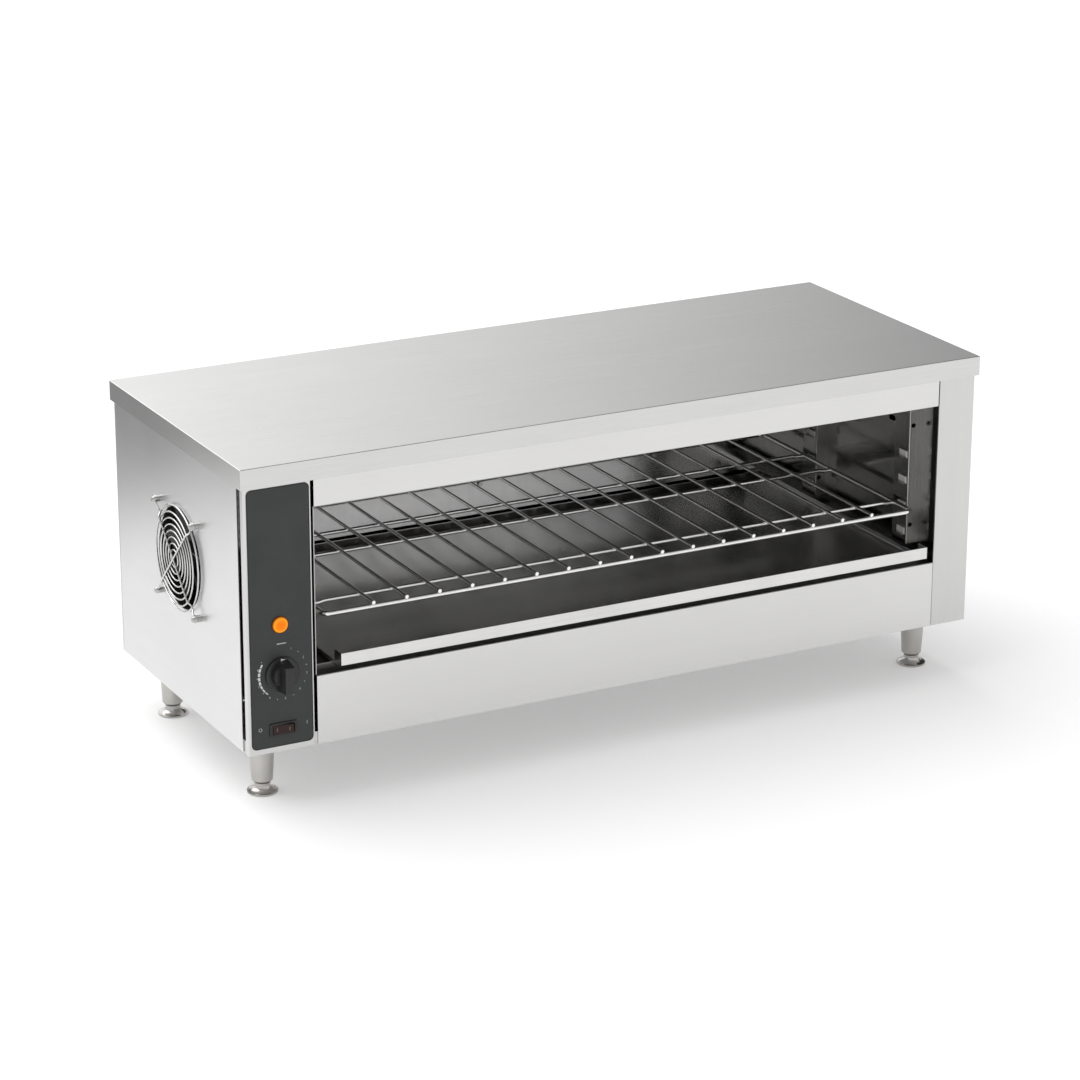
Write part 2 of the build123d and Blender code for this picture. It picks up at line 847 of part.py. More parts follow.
with BuildPart() as element_hangers:
    for hanger_offset in hanger_offsets:
        hanger_x = (cavity_left_x + cavity_right_x) / 2 + hanger_offset
        hanger_plane = Plane(origin=(hanger_x, 0, 0), x_dir=(0, 1, 0), z_dir=(1, 0, 0))
        block(
            (hanger_x - hanger_sheet, hanger_x),
            (element_legs[0] - hanger_margin, element_legs[-1] + hanger_margin),
            (element_z - hanger_drop, cavity_ceiling_z),
        )
        drill(hanger_plane, [(y, element_z) for y in element_legs], element_radius + screw_gap, hanger_sheet)
element_hangers.part.label = "element_hangers"
export_step(element_hangers.part, "parts/element_hangers.step")

# ------------------------------------------------------------------ fan and its guard

fan_frame_plane = Plane(origin=(left_x + skin, fan_y, fan_z), x_dir=(0, -1, 0), z_dir=(1, 0, 0))
boss_start = fan_depth - fan_boss_depth

with BuildPart() as fan_frame:
    with BuildSketch(fan_frame_plane):
        RectangleRounded(fan_size, fan_size, fan_corner)
        Circle(fan_bore_radius, mode=Mode.SUBTRACT)
        with Locations(*screw_corners):
            Circle(fan_screw_radius + screw_gap, mode=Mode.SUBTRACT)
    extrude(amount=fan_depth)
    with BuildSketch(fan_frame_plane.offset(boss_start)):
        Circle(fan_boss_radius)
        with GridLocations(0, 0, 1, 1):
            Rectangle(2 * fan_bore_radius + 1, fan_strut)
            Rectangle(fan_strut, 2 * fan_bore_radius + 1)
        Circle(rotor_shaft_radius + running_gap, mode=Mode.SUBTRACT)
    extrude(amount=fan_boss_depth)
fan_frame.part.label = "fan_frame"
export_step(fan_frame.part, "parts/fan_frame.step")

rotor_plane = fan_frame_plane.offset(rotor_start)

with BuildPart() as fan_rotor:
    with Locations(rotor_plane.offset(rotor_depth / 2)):
        with PolarLocations((rotor_hub_radius + rotor_radius) / 2, blade_count):
            Box(rotor_radius - rotor_hub_radius + 2, blade_chord, blade_sheet, rotation=(blade_pitch, 0, 0))
        Cylinder(rotor_radius, rotor_depth, mode=Mode.INTERSECT)
        Cylinder(rotor_hub_radius, rotor_depth)
    stacked_cylinder(rotor_plane, rotor_depth, rotor_shaft_radius, fan_depth - rotor_start - rotor_depth)
fan_rotor.part.label = "fan_rotor"
export_step(fan_rotor.part, "parts/fan_rotor.step")

ring_height = spoke_height - (spoke_wire + ring_wire) / 2 + wire_weld
outer_ring_height = spoke_low_height - (spoke_wire + ring_wire) / 2 + wire_weld
eyelet_centre = standoff_length + eyelet_sheet / 2
eyelet_distance = fan_screw_pitch / 2 * 2 ** 0.5

with BuildPart() as fan_guard:
    with Locations(guard_plane.offset(outer_ring_height)):
        Torus(ring_outer_radius, ring_wire / 2)
    with Locations(guard_plane.offset(ring_height)):
        for ring in range(1, ring_count):
            Torus(ring_outer_radius - ring * ring_pitch, ring_wire / 2)
    for lean in (-1, 1):
        along = Vector(0, lean, 1).normalized()
        spoke_plane = Plane(origin=guard_plane.origin, x_dir=along, z_dir=along.cross(guard_plane.z_dir))
        spoke_end = eyelet_distance - eyelet_radius + eyelet_bite
        half_spoke = [
            (spoke_end, eyelet_centre),
            (spoke_step_out + spoke_low_run, spoke_low_height),
            (spoke_step_out, spoke_low_height),
            (spoke_step_in, spoke_height),
        ]
        with BuildLine(spoke_plane):
            spoke_path = FilletPolyline(
                *[(-s, h) for s, h in half_spoke],
                *reversed(half_spoke),
                radius=spoke_bend,
            )
        with BuildSketch(Plane(spoke_path @ 0, z_dir=spoke_path % 0)) as wire:
            Circle(spoke_wire / 2)
        sweep(wire.sketch, path=spoke_path)
    with BuildSketch(guard_plane.offset(standoff_length)) as eyelets:
        with Locations(*screw_corners):
            Circle(eyelet_radius)
    extrude(eyelets.sketch, amount=eyelet_sheet)
    drill(
        guard_plane.offset(standoff_length + eyelet_sheet),
        screw_corners,
        fan_screw_radius + screw_gap,
        eyelet_sheet,
    )
fan_guard.part.label = "fan_guard"
export_step(fan_guard.part, "parts/fan_guard.step")

with BuildPart() as guard_standoffs:
    with BuildSketch(guard_plane):
        with Locations(*screw_corners):
            Circle(standoff_radius)
            Circle(fan_screw_radius + screw_gap, mode=Mode.SUBTRACT)
    extrude(amount=standoff_length)
guard_standoffs.part.label = "guard_standoffs"
export_step(guard_standoffs.part, "parts/guard_standoffs.step")

with BuildPart() as guard_screws:
    pan_screws(
        guard_plane.offset(standoff_length + eyelet_sheet),
        screw_corners,
        guard_head_radius,
        guard_head_height,
        fan_screw_radius,
        eyelet_sheet + standoff_length + skin + fan_depth + fan_nut_height + 1,
    )
guard_screws.part.label = "guard_screws"
export_step(guard_screws.part, "parts/guard_screws.step")

with BuildPart() as fan_nuts:
    with BuildSketch(fan_frame_plane.offset(fan_depth)):
        with Locations(*screw_corners):
            RegularPolygon(fan_nut_flats / 2, 6, major_radius=False)
            Circle(fan_screw_radius + running_gap, mode=Mode.SUBTRACT)
    extrude(amount=fan_nut_height)
fan_nuts.part.label = "fan_nuts"
export_step(fan_nuts.part, "parts/fan_nuts.step")

# ------------------------------------------------------------------ controls

overlay_y = overlay_plane.origin.Y
pilot_plane = Plane(origin=(column_centre_x, overlay_y, pilot_z), x_dir=(1, 0, 0), z_dir=(0, -1, 0))
knob_plane = Plane(origin=(dial_x, overlay_y, knob_z), x_dir=(1, 0, 0), z_dir=(0, -1, 0))
switch_plane = Plane(origin=(dial_x, overlay_y, switch_z), x_dir=(1, 0, 0), z_dir=(0, -1, 0))
behind_sheet = -overlay_sheet - skin

with BuildPart() as pilot_lamp_lens:
    stacked_cylinder(pilot_plane, 0, pilot_radius, pilot_rim)
    with BuildSketch(pilot_plane.offset(pilot_rim)):
        Circle(pilot_radius - pilot_rim / 2)
    extrude(amount=pilot_dome - pilot_rim, taper=pilot_taper)
    fillet(pilot_lamp_lens.faces().filter_by(Axis.Y).sort_by(Axis.Y)[0].edges(), radius=pilot_rim)
pilot_lamp_lens.part.label = "pilot_lamp_lens"
export_step(pilot_lamp_lens.part, "parts/pilot_lamp_lens.step")

with BuildPart() as pilot_lamp_body:
    stacked_cylinder(pilot_plane, -pilot_body_length, pilot_body_radius, pilot_body_length)
    for spade_side in (-1, 1):
        spade_x = column_centre_x + spade_side * pilot_body_radius / 2
        spade_y = overlay_y + pilot_body_length
        block(
            (spade_x - spade_sheet / 2, spade_x + spade_sheet / 2),
            (spade_y, spade_y + spade_length),
            (pilot_z - spade_width / 2, pilot_z + spade_width / 2),
        )
pilot_lamp_body.part.label = "pilot_lamp_body"
export_step(pilot_lamp_body.part, "parts/pilot_lamp_body.step")

with BuildPart() as control_knob:
    stacked_cylinder(knob_plane, knob_gap, knob_radius, knob_rim)
    chamfer(control_knob.faces().sort_by(Axis.Y)[0].edges(), length=knob_edge)
    with BuildSketch(knob_plane.offset(knob_gap + knob_rim)) as shoulder:
        Circle(knob_shoulder_radius)
    extrude(shoulder.sketch, amount=knob_shoulder - knob_rim, taper=head_taper / 2)
    with BuildSketch(knob_plane.offset(knob_gap + knob_rim)) as grip:
        Circle(grip_low_reach)
        with Locations((0, (grip_top_reach - grip_low_reach) / 2)):
            Rectangle(grip_width, grip_top_reach + grip_low_reach, mode=Mode.INTERSECT)
    extrude(grip.sketch, amount=knob_height - knob_rim, taper=grip_taper)
    fillet(control_knob.faces().sort_by(Axis.Y)[0].edges(), radius=grip_edge)
    stacked_cylinder(knob_plane, knob_gap, shaft_radius + running_gap, knob_bore_depth, mode=Mode.SUBTRACT)
control_knob.part.label = "control_knob"
export_step(control_knob.part, "parts/control_knob.step")

with BuildPart() as thermostat_body:
    with BuildSketch(knob_plane.offset(behind_sheet)):
        RectangleRounded(control_size, control_size, control_edge)
    extrude(amount=-control_depth)
    stacked_cylinder(knob_plane, behind_sheet, control_neck_radius, -behind_sheet)
    bore_depth = shaft_root - behind_sheet
    stacked_cylinder(knob_plane, -bore_depth, shaft_radius + running_gap, bore_depth, mode=Mode.SUBTRACT)
    for spade_side in (-1, 0, 1):
        spade_x = dial_x + spade_side * control_size / 3
        spade_y = overlay_y - behind_sheet + control_depth
        block(
            (spade_x - spade_sheet / 2, spade_x + spade_sheet / 2),
            (spade_y, spade_y + spade_length),
            (knob_z - spade_width / 2, knob_z + spade_width / 2),
        )
thermostat_body.part.label = "thermostat_body"
export_step(thermostat_body.part, "parts/thermostat_body.step")

with BuildPart() as thermostat_shaft:
    stacked_cylinder(
        knob_plane,
        -shaft_root,
        shaft_radius,
        shaft_root + knob_gap + knob_bore_depth,
    )
thermostat_shaft.part.label = "thermostat_shaft"
export_step(thermostat_shaft.part, "parts/thermostat_shaft.step")

with BuildPart() as rocker_switch_body:
    with BuildSketch(switch_plane):
        RectangleRounded(bezel_length, bezel_height, bezel_sheet)
    extrude(amount=bezel_sheet)
    fillet(rocker_switch_body.faces().sort_by(Axis.Y)[0].edges(), radius=bezel_sheet / 2)
    with BuildSketch(switch_plane):
        Rectangle(switch_body_length, switch_body_height)
    extrude(amount=-switch_body_depth)
    with BuildSketch(switch_plane.offset(bezel_sheet)):
        Rectangle(rocker_window_length, rocker_window_height)
    extrude(amount=-bezel_sheet - rocker_window_depth, mode=Mode.SUBTRACT)
    pivot_y = overlay_y + rocker_pivot_depth
    with Locations((dial_x, pivot_y, switch_z)):
        Cylinder(pivot_radius + running_gap, switch_body_height, mode=Mode.SUBTRACT)
    for spade_side in (-1, 1):
        spade_x = dial_x + spade_side * switch_body_length / 4
        spade_y = overlay_y + switch_body_depth
        block(
            (spade_x - spade_sheet / 2, spade_x + spade_sheet / 2),
            (spade_y, spade_y + spade_length),
            (switch_z - spade_width / 2, switch_z + spade_width / 2),
        )
rocker_switch_body.part.label = "rocker_switch_body"
export_step(rocker_switch_body.part, "parts/rocker_switch_body.step")

pivot_axis = Axis((dial_x, pivot_y, 0), (0, 0, 1))

with BuildPart() as switch_rocker:
    with BuildSketch(Plane.XY.offset(switch_z - rocker_height / 2)):
        with BuildLine():
            Polyline(
                (dial_x - rocker_length / 2, overlay_y - rocker_tip),
                (dial_x, overlay_y - rocker_tip + rocker_dip),
                (dial_x + rocker_length / 2, overlay_y - rocker_tip),
                (dial_x + rocker_heel_length / 2, overlay_y + rocker_heel_depth),
                (dial_x - rocker_heel_length / 2, overlay_y + rocker_heel_depth),
                close=True,
            )
        make_face()
    extrude(amount=rocker_height)
    with Locations((dial_x, pivot_y, switch_z)):
        Cylinder(pivot_radius, (rocker_window_height + switch_body_height) / 2)
    tilted = switch_rocker.part.rotate(pivot_axis, -rocker_tilt)
    add(tilted, mode=Mode.REPLACE)
switch_rocker.part.label = "switch_rocker"
export_step(switch_rocker.part, "parts/switch_rocker.step")

# ------------------------------------------------------------------ wiring entry

gland_plane = Plane(origin=(gland_x, back_y, gland_z), x_dir=(-1, 0, 0), z_dir=(0, 1, 0))
gland_inner_plane = Plane(origin=(gland_x, back_y - skin, gland_z), x_dir=(1, 0, 0), z_dir=(0, -1, 0))

with BuildPart() as cord_gland:
    with BuildSketch(gland_plane):
        RegularPolygon(gland_flange_radius, 6, major_radius=False)
    extrude(amount=gland_flange)
    with BuildSketch(gland_plane.offset(gland_flange)):
        Circle(gland_dome_radius)
    extrude(amount=gland_reach - gland_flange, taper=head_taper / 2)
    stacked_cylinder(gland_plane, -skin - gland_inside, gland_thread_radius, skin + gland_inside)
    stacked_cylinder(
        gland_plane,
        -skin - gland_inside,
        gland_bore_radius,
        skin + gland_inside + gland_reach,
        mode=Mode.SUBTRACT,
    )
cord_gland.part.label = "cord_gland"
export_step(cord_gland.part, "parts/cord_gland.step")

with BuildPart() as gland_nut:
    hexagon_nut(gland_inner_plane, 0, 2 * gland_nut_radius, gland_nut_height, gland_thread_radius + running_gap)
gland_nut.part.label = "gland_nut"
export_step(gland_nut.part, "parts/gland_nut.step")

terminal_y = back_y - terminal_back_gap
terminal_floor_z = body_base_z + skin

with BuildPart() as terminal_block:
    block(
        (column_centre_x - terminal_width / 2, column_centre_x + terminal_width / 2),
        (terminal_y - terminal_length / 2, terminal_y + terminal_length / 2),
        (terminal_floor_z, terminal_floor_z + terminal_height),
    )
    with BuildSketch(Plane.XY.offset(terminal_floor_z + terminal_height)):
        with Locations((column_centre_x, terminal_y)):
            with GridLocations(0, terminal_length / terminal_bays, 1, terminal_bays):
                Rectangle(terminal_width, terminal_length / terminal_bays - terminal_wall)
    extrude(amount=-terminal_height / 3, mode=Mode.SUBTRACT)
terminal_block.part.label = "terminal_block"
export_step(terminal_block.part, "parts/terminal_block.step")

# ------------------------------------------------------------------ legs and feet

neck_top_z = leg_end_z - foot_seat_gap

for corner, (leg_x, leg_y) in leg_points.items():
    with BuildPart() as leg:
        turned(
            leg_x,
            leg_y,
            [
                (stem_radius + stem_gap, leg_end_z),
                (neck_radius, leg_end_z),
                (leg_low_radius, leg_low_z),
                (leg_top_radius, body_base_z),
                (stud_radius, body_base_z),
                (stud_radius, body_base_z + stud_length),
                (0, body_base_z + stud_length),
                (0, leg_bore_top_z),
                (stem_radius + stem_gap, leg_bore_top_z),
            ],
        )
    leg.part.label = f"leg_{corner}"
    export_step(leg.part, f"parts/leg_{corner}.step")

    with BuildPart() as foot:
        with BuildSketch(Plane(origin=(leg_x, leg_y, 0), x_dir=(1, 0, 0), z_dir=(0, -1, 0))):
            with BuildLine():
                Polyline(
                    (neck_radius, flare_z),
                    (neck_radius, neck_top_z),
                    (stem_radius, neck_top_z),
                    (stem_radius, stem_top_z),
                    (0, stem_top_z),
                    (0, 0),
                    (foot_radius - foot_edge, 0),
                    (foot_radius, foot_edge),
                    (foot_radius, foot_rim),
                )
                ThreePointArc(
                    (foot_radius, foot_rim),
                    (neck_radius + flare_sag, foot_rim + flare_sag),
                    (neck_radius, flare_z),
                )
            make_face()
        revolve(axis=Axis((leg_x, leg_y, 0), (0, 0, 1)))
    foot.part.label = f"foot_{corner}"
    export_step(foot.part, f"parts/foot_{corner}.step")

with BuildPart() as leg_nuts:
    for leg_x, leg_y in leg_points.values():
        nut_plane = Plane(origin=(leg_x, leg_y, body_base_z + skin), z_dir=(0, 0, 1))
        hexagon_nut(nut_plane, 0, nut_flats, nut_height, stud_radius + running_gap)
leg_nuts.part.label = "leg_nuts"
export_step(leg_nuts.part, "parts/leg_nuts.step")

# ------------------------------------------------------------------ wire rack

rack_centre_x = (face_left_x + face_right_x) / 2
rack_half = (face_right_x - face_left_x) / 2 - rack_side_play - rack_rail_wire / 2
rack_front_y = front_y + rack_front_back
rack_rear_y = cavity_back_y - rack_rear_gap
cross_z = rack_rail_z + (rack_rail_wire + rack_cross_wire) / 2 - weld_depth
long_z = cross_z - (rack_long_wire + rack_cross_wire) / 2 + weld_depth
long_end_z = rack_rail_z + long_wire_end_rise - (rack_rail_wire - rack_long_wire) / 2
rail_outer = rack_rail_wire / 2

with BuildPart() as wire_rack:
    with BuildLine(Plane.XY.offset(rack_rail_z)):
        rail_path = FilletPolyline(
            (rack_centre_x, rack_front_y),
            (rack_centre_x + rack_half, rack_front_y),
            (rack_centre_x + rack_half, rack_rear_y),
            (rack_centre_x - rack_half, rack_rear_y),
            (rack_centre_x - rack_half, rack_front_y),
            (rack_centre_x - 0.01, rack_front_y),
            radius=rack_corner,
        )
    with BuildSketch(Plane(rail_path @ 0, z_dir=rail_path % 0)):
        Circle(rack_rail_wire / 2)
    sweep(path=rail_path)
    for cross in range(cross_count):
        cross_x = rack_centre_x + (cross - (cross_count - 1) / 2) * cross_pitch
        cross_start = (cross_x, rack_front_y - rail_outer, cross_z)
        cross_plane = Plane(origin=cross_start, x_dir=(1, 0, 0), z_dir=(0, 1, 0))
        stacked_cylinder(cross_plane, 0, rack_cross_wire / 2, rack_rear_y - rack_front_y + 2 * rail_outer)
    for back in long_wire_backs:
        half_wire = [
            (rack_half, long_end_z),
            (rack_half - joggle_start, long_end_z),
            (rack_half - joggle_end, long_z),
        ]
        with BuildLine(Plane(origin=(rack_centre_x, front_y + back, 0), x_dir=(1, 0, 0), z_dir=(0, -1, 0))):
            long_path = FilletPolyline(
                *[(-x, z) for x, z in half_wire],
                *reversed(half_wire),
                radius=joggle_radius,
            )
        with BuildSketch(Plane(long_path @ 0, z_dir=long_path % 0)):
            Circle(rack_long_wire / 2)
        sweep(path=long_path)
wire_rack.part.label = "wire_rack"
export_step(wire_rack.part, "parts/wire_rack.step")

# ------------------------------------------------------------------ crumb tray

tray_left_x = cavity_left_x + tray_left_gap
tray_right_x = cavity_right_x - tray_right_gap
tray_low_z = cavity_floor_z + seat_gap
tray_front_y = front_y - tray_reach
tray_rear_y = cavity_back_y - tray_back_gap
tray_side_top_z = tray_low_z + tray_side_height
tray_lip_top_z = tray_low_z + tray_lip_rise + tray_lip_height

with BuildPart() as crumb_tray:
    with BuildSketch(Plane.YZ.offset(tray_left_x)):
        with BuildLine():
            Polyline(
                (tray_rear_y - tray_tail, tray_low_z),
                (tray_front_y + tray_nose, tray_low_z),
                (tray_front_y, tray_low_z + tray_lip_rise),
                (tray_front_y, tray_lip_top_z),
                (tray_front_y + tray_wing, tray_lip_top_z),
                (tray_front_y + tray_wing, tray_side_top_z),
                (tray_rear_y, tray_side_top_z),
                close=True,
            )
        make_face()
    extrude(amount=tray_right_x - tray_left_x)
    low_edges = crumb_tray.edges().filter_by(Axis.Y).group_by(Axis.Z)[0]
    fillet(low_edges, radius=tray_corner)
    open_faces = crumb_tray.faces().filter_by(Axis.Z).filter_by(lambda f: f.normal_at().Z > 0.5)
    wing_rear = crumb_tray.faces().filter_by(Axis.Y).sort_by(Axis.Y)[1]
    offset(amount=-tray_sheet, openings=[*open_faces, wing_rear])
crumb_tray.part.label = "crumb_tray"
export_step(crumb_tray.part, "parts/crumb_tray.step")
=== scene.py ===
import math

import bpy
from mathutils import Matrix, Vector


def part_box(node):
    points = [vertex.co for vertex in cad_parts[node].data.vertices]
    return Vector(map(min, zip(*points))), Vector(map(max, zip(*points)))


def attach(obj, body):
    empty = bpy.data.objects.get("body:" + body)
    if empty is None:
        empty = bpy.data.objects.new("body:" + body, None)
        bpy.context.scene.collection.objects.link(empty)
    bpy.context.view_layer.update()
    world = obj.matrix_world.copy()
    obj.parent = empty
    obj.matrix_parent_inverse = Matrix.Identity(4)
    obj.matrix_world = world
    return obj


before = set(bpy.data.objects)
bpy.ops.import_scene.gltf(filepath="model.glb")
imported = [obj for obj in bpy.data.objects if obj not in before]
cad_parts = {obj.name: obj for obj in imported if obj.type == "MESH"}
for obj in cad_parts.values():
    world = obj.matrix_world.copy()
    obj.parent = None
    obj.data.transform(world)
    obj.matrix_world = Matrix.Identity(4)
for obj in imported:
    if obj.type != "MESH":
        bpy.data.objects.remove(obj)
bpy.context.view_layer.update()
print("frame loaded,", len(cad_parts), "pieces from the model")

mm = 0.001
lidLow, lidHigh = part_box("top_cover")
middle = (lidLow + lidHigh) / 2   # the camera and the lamps are placed from the middle of the lid


# small helpers

def deselectAll():
    if bpy.context.object and bpy.context.object.mode != "OBJECT":
        bpy.ops.object.mode_set(mode="OBJECT")
    bpy.ops.object.select_all(action="DESELECT")


def makeActive(piece):
    deselectAll()
    piece.select_set(True)
    bpy.context.view_layer.objects.active = piece


def placeInMesh(piece):
    # the piece ends at the origin, with its place in its mesh
    makeActive(piece)
    bpy.ops.object.transform_apply(location=True, rotation=True, scale=True)
    return piece


def joinPieces(pieces, name):
    deselectAll()
    for piece in pieces:
        piece.select_set(True)
    bpy.context.view_layer.objects.active = pieces[0]
    bpy.ops.object.join()
    joined = bpy.context.object
    joined.name = name
    joined.data.name = name
    return joined


def give(piece, material, body):
    piece.data.materials.clear()
    piece.data.materials.append(material)
    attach(piece, body)
    return piece


# materials

class Nodes:
    # a short way to lay out a material's nodes

    def __init__(self, name):
        self.material = bpy.data.materials.new(name)
        self.material.use_nodes = True
        self.tree = self.material.node_tree
        self.shader = self.tree.nodes["Principled BSDF"]
        self.place = self.add("ShaderNodeTexCoord").outputs["Object"]

    def add(self, kind, **settings):
        node = self.tree.nodes.new(kind)
        for key, value in settings.items():
            setattr(node, key, value)
        return node

    def join(self, source, target):
        self.tree.links.new(source, target)

    def stretched(self, scale):
        # object coordinates in millimetres, stretched by a scale for each axis
        mapping = self.add("ShaderNodeMapping")
        mapping.inputs["Scale"].default_value = [1000 * s for s in scale]
        self.join(self.place, mapping.inputs["Vector"])
        return mapping.outputs["Vector"]

    def noise(self, scale, detail=4, roughness=0.6, size=1.0, distortion=0.0):
        texture = self.add("ShaderNodeTexNoise")
        texture.inputs["Scale"].default_value = size
        texture.inputs["Detail"].default_value = detail
        texture.inputs["Roughness"].default_value = roughness
        texture.inputs["Distortion"].default_value = distortion
        self.join(self.stretched(scale), texture.inputs["Vector"])
        return texture.outputs["Fac"]

    def ramp(self, source, stops):
        ramp = self.add("ShaderNodeValToRGB")
        elements = ramp.color_ramp.elements
        while len(elements) < len(stops):
            elements.new(0.5)
        for element, (position, colour) in zip(elements, stops):
            element.position = position
            if not hasattr(colour, "__len__"):
                colour = (colour, colour, colour)
            element.color = (*colour, 1)
        self.join(source, ramp.inputs["Fac"])
        return ramp.outputs["Color"]

    def spread(self, source, low, high):
        # turns a noise of about 0.3 to 0.7 into a value from low to high
        spread = self.add("ShaderNodeMapRange")
        spread.inputs["From Min"].default_value = 0.3
        spread.inputs["From Max"].default_value = 0.7
        spread.inputs["To Min"].default_value = low
        spread.inputs["To Max"].default_value = high
        self.join(source, spread.inputs["Value"])
        return spread.outputs["Result"]

    def mix(self, factor, first, second, blend="MIX"):
        mix = self.add("ShaderNodeMix", data_type="RGBA", blend_type=blend)
        # the node's first sockets are for plain numbers, its colours are the seventh and eighth
        for value, socket in ((factor, mix.inputs[0]), (first, mix.inputs[6]), (second, mix.inputs[7])):
            if isinstance(value, bpy.types.NodeSocket):
                self.join(value, socket)
            elif hasattr(value, "__len__"):
                socket.default_value = (*value, 1)
            else:
                socket.default_value = value
        return mix.outputs[2]

    def axis(self, name):
        # one object coordinate, in metres
        return self.part(name, self.place)

    def part(self, name, source):
        split = self.add("ShaderNodeSeparateXYZ")
        self.join(source, split.inputs[0])
        return split.outputs[name]

    def math(self, operation, *values):
        node = self.add("ShaderNodeMath", operation=operation)
        for socket, value in zip(node.inputs, values):
            if isinstance(value, bpy.types.NodeSocket):
                self.join(value, socket)
            else:
                socket.default_value = value
        return node.outputs[0]

    def slope(self, source, start, end, first, last):
        # goes softly from the first value to the last between two places
        slope = self.add("ShaderNodeMapRange", interpolation_type="SMOOTHSTEP")
        for name, value in (("From Min", start), ("From Max", end), ("To Min", first), ("To Max", last)):
            slope.inputs[name].default_value = value
        self.join(source, slope.inputs["Value"])
        return slope.outputs["Result"]

    def bump(self, height, strength, distance):
        bump = self.add("ShaderNodeBump")
        bump.inputs["Strength"].default_value = strength
        bump.inputs["Distance"].default_value = distance
        self.join(height, bump.inputs["Height"])
        self.join(bump.outputs["Normal"], self.shader.inputs["Normal"])

    def set(self, **values):
        for name, value in values.items():
            socket = self.shader.inputs[name.replace("_", " ")]
            if isinstance(value, bpy.types.NodeSocket):
                self.join(value, socket)
            elif hasattr(value, "__len__"):
                socket.default_value = (*value, 1)
            else:
                socket.default_value = value


def brushedSteel(name, along, colour, roughness, contrast=0.06, brush=0.04, paintedShade=None):
    # rolled sheet with fine brush lines along one axis, and slow changes of tone across it;
    # a painted shade, when given, multiplies the tone, going from one tone to another between two places
    # along Y
    steel = Nodes(name)
    fine = [0.9, 0.9, 0.9]
    fine[along] = 0.012
    broad = [0.02, 0.02, 0.02]
    broad[along] = 0.0012
    lines = steel.noise(fine, detail=3, roughness=0.7)
    bands = steel.noise(broad, detail=2)
    patches = steel.noise((0.006, 0.006, 0.006), detail=2)
    groove = tuple(c * (1 - contrast) for c in colour)
    ridge = tuple(c * (1 + contrast / 2) for c in colour)
    light = steel.ramp(lines, ((0.25, groove), (0.75, ridge)))
    toned = steel.mix(steel.spread(bands, 0.0, 0.5), light, tuple(c * 0.93 for c in colour))
    if paintedShade:
        toned = steel.mix(1.0, toned, steel.slope(steel.axis("Y"), *paintedShade), blend="MULTIPLY")
    steel.set(
        Base_Color=toned,
        Metallic=1.0,
        Roughness=steel.spread(patches, roughness - 0.03, roughness + 0.04),
    )
    steel.bump(lines, brush, 0.00004)
    return steel.material


def polishedMetal(name, colour, roughness, wear=0.1):
    metal = Nodes(name)
    cloud = metal.noise((0.05, 0.05, 0.05), detail=5)
    grain = metal.noise((1.5, 1.5, 1.5), detail=2)
    metal.set(
        Base_Color=metal.ramp(cloud, ((0.3, tuple(c * (1 - wear) for c in colour)), (0.7, colour))),
        Metallic=1.0,
        Roughness=metal.spread(grain, roughness * 0.7, roughness * 1.4),
    )
    metal.bump(grain, 0.03, 0.00005)
    return metal.material


def mouldedPlastic(name, colour, roughness, grain=0.5, depth=0.12):
    plastic = Nodes(name)
    fine = plastic.noise((grain, grain, grain), detail=4)
    dust = plastic.noise((0.03, 0.03, 0.03), detail=5)
    dusty = tuple(min(1, c * 1.25 + 0.004) for c in colour)
    plastic.set(
        Base_Color=plastic.ramp(dust, ((0.35, colour), (0.8, dusty))),
        Roughness=plastic.spread(fine, roughness - 0.06, roughness + 0.08),
    )
    plastic.bump(fine, depth, 0.00008)
    return plastic.material


# painted highlight: the ears of the rack posts are drawn lighter than the posts
earHalf = 0.75 * mm                  # half the thickness of what stays lighter


def heatedSteel(name, along, colour, roughness, fade=None, streaks=0.3, bright=()):
    # bright rolled sheet that oven heat has dulled in soft patches; it can fade along X as painted shade,
    # and thin ears at given places along X get a painted highlight: near white, rougher and much less
    # metallic
    steel = Nodes(name)
    fine = [0.5, 0.5, 0.5]
    fine[along] = 0.006
    lines = steel.noise(fine, detail=4, roughness=0.7)
    cloud = steel.noise((0.012, 0.012, 0.012), detail=4, distortion=0.6)
    warm = (colour[0] * 1.05, colour[1] * 1.03, colour[2])
    tint = steel.ramp(cloud, ((0.3, tuple(c * 0.92 for c in colour)), (0.55, colour), (0.8, warm)))
    shaded = steel.mix(steel.spread(lines, 0.0, streaks), tint, tuple(c * 0.7 for c in colour))
    dull = steel.spread(cloud, roughness - 0.02, roughness + 0.03)
    # painted shade: the tone falls off along X
    if fade:
        shaded = steel.mix(1.0, shaded, steel.slope(steel.axis("X"), *fade), blend="MULTIPLY")
    earHighlight = None
    # painted highlight on the ears
    for place in bright:
        on = steel.math("COMPARE", steel.axis("X"), place, earHalf)
        shaded = steel.mix(on, shaded, (0.92, 0.91, 0.90))
        dull = steel.math("ADD", dull, steel.math("MULTIPLY", on, 0.35))
        earHighlight = on if earHighlight is None else steel.math("ADD", earHighlight, on)
    metal = 1.0 if earHighlight is None else steel.math("MULTIPLY_ADD", earHighlight, -0.95, 1.0)
    steel.set(Base_Color=shaded, Metallic=metal, Roughness=dull)
    steel.bump(lines, 0.01, 0.00002)
    return steel.material


def printedInk(name, colour):
    ink = Nodes(name)
    speckle = ink.noise((2.5, 2.5, 2.5), detail=3)
    ink.set(
        Base_Color=ink.ramp(speckle, ((0.3, tuple(c * 0.85 for c in colour)), (0.6, colour))),
        Roughness=ink.spread(speckle, 0.4, 0.6),
    )
    return ink.material


